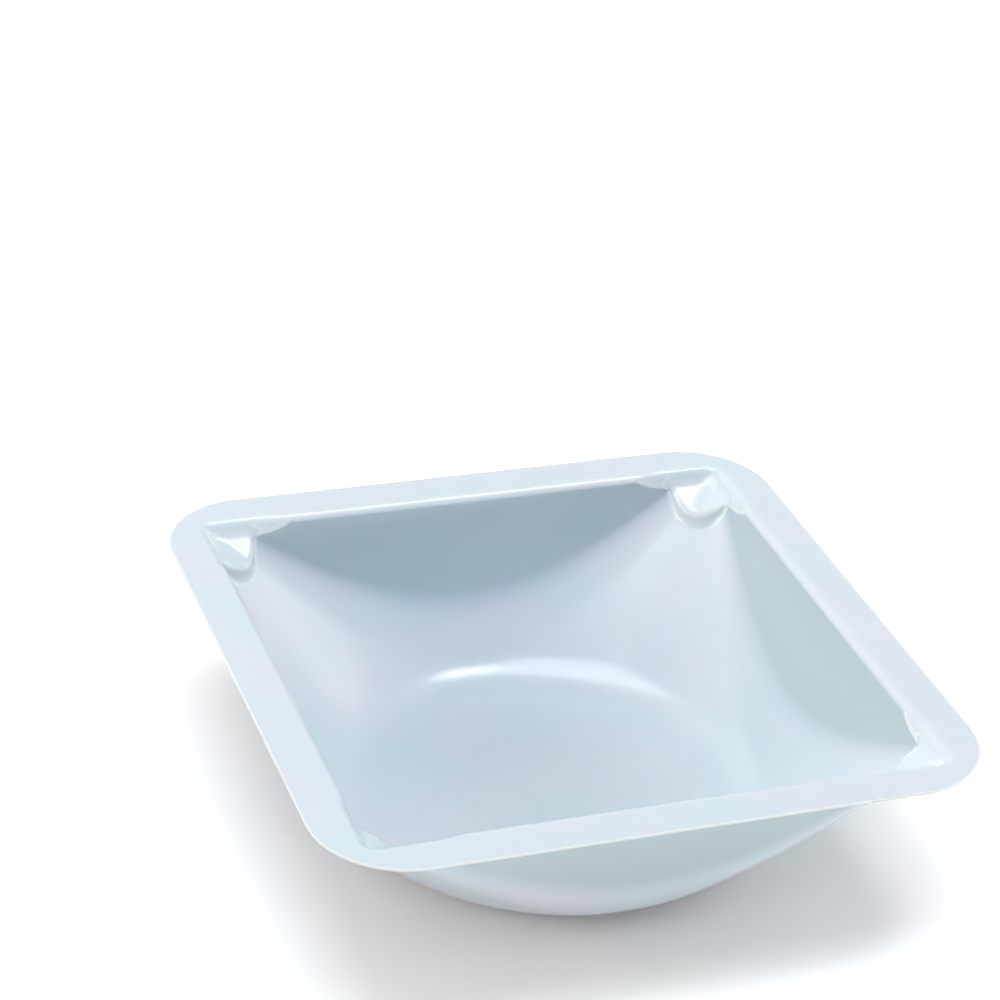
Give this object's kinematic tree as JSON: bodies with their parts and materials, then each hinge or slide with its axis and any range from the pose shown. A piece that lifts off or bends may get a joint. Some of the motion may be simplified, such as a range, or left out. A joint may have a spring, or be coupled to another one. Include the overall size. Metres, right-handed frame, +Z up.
{
  "type": "weighing boat",
  "caption": "Square thin-walled weighing dish with a flat rim, drafted walls, a round flat foot and pouring corners with denesting pockets.",
  "frame": {"origin": "centre of the flat foot, on its underside", "axes": "+Z up through the opening; X and Y run square to the rim's straight sides"},
  "size_m": [0.089, 0.089, 0.025],
  "materials": {
    "sheet": "satin, slightly translucent white polystyrene sheet"
  },
  "bodies": {
    "root": {"dish": "sheet"}
  },
  "joints": []
}
